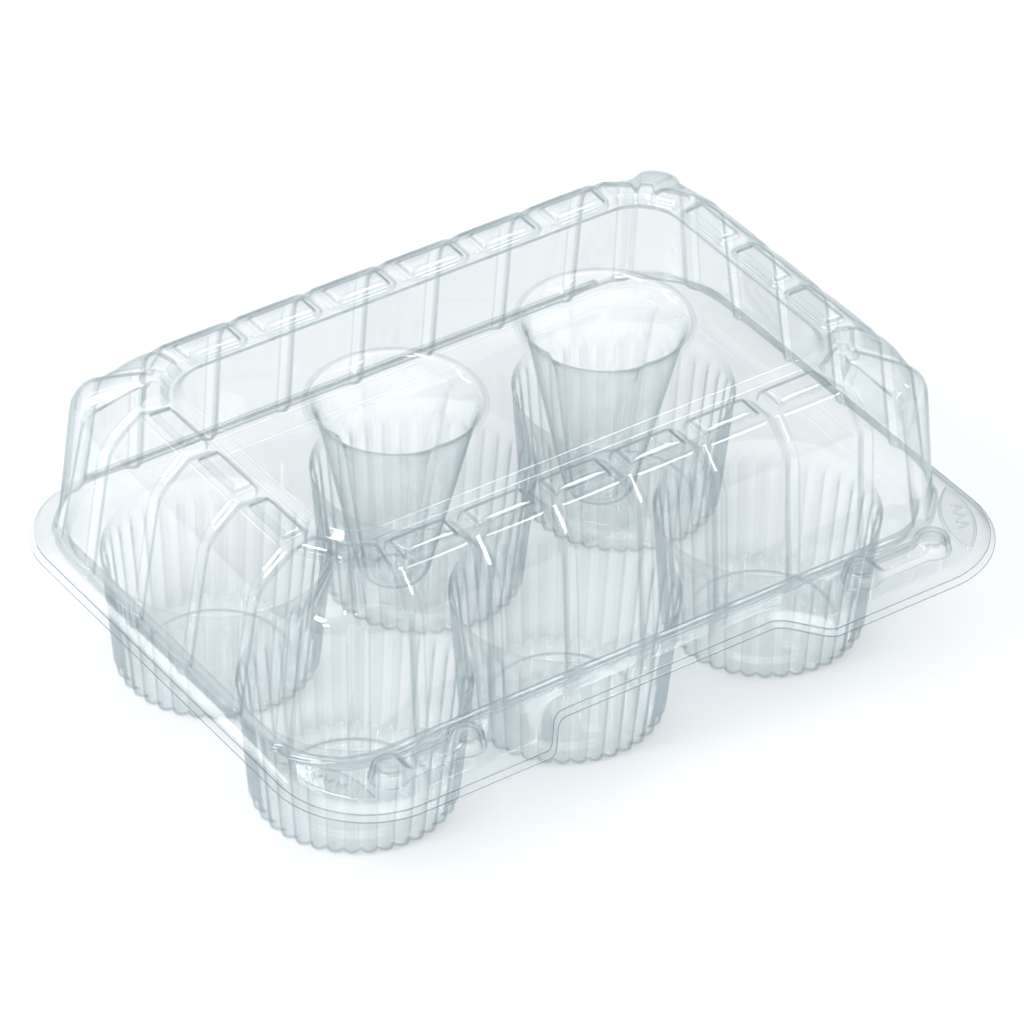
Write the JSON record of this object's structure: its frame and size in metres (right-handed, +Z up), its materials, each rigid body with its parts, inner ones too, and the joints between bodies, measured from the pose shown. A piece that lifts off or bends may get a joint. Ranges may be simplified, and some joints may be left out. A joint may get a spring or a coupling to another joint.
{
  "type": "hinged clamshell carton",
  "caption": "Clear hinged clamshell carton: fluted round cups in a tray, tall ribbed lid on a living hinge, hollow lid posts and snap-closing pull ears.",
  "frame": {"origin": "centre of the closed carton's footprint, on the table under the cups", "axes": "+X along the hinge to the right seen from the opening side, +Y from the opening side to the hinge, +Z up"},
  "size_m": [0.245, 0.1806, 0.102],
  "materials": {
    "tray_sheet": "clear gloss PET",
    "lid_sheet": "clear gloss PET",
    "hinge": "clear gloss PET, creased"
  },
  "bodies": {
    "tray": {"tray_web": "tray_sheet", "tray_step": "tray_sheet", "tray_rim": "tray_sheet", "front_left_cup": "tray_sheet", "front_middle_cup": "tray_sheet", "front_right_cup": "tray_sheet", "rear_left_cup": "tray_sheet", "rear_middle_cup": "tray_sheet", "rear_right_cup": "tray_sheet", "left_snap_stud": "tray_sheet", "right_snap_stud": "tray_sheet", "hinge_strip": "hinge"},
    "lid": {"lid_rim": "lid_sheet", "lid_wall": "lid_sheet", "lid_shoulder": "lid_sheet", "lid_ledge": "lid_sheet", "lid_panel_edge": "lid_sheet", "lid_top_panel": "lid_sheet", "front_stacking_pads": "lid_sheet", "rear_stacking_pads": "lid_sheet", "left_stacking_pads": "lid_sheet", "right_stacking_pads": "lid_sheet", "left_post": "lid_sheet", "right_post": "lid_sheet", "left_snap_socket": "lid_sheet", "right_snap_socket": "lid_sheet", "left_thumb_pad": "lid_sheet", "right_thumb_pad": "lid_sheet"}
  },
  "joints": [
    {"name": "lid_hinge", "type": "hinge", "parent": "tray", "child": "lid", "pos_m": [0, 0.08968, 0.04785], "axis": [-1, 0, 0], "range_deg": [0, 167]}
  ]
}
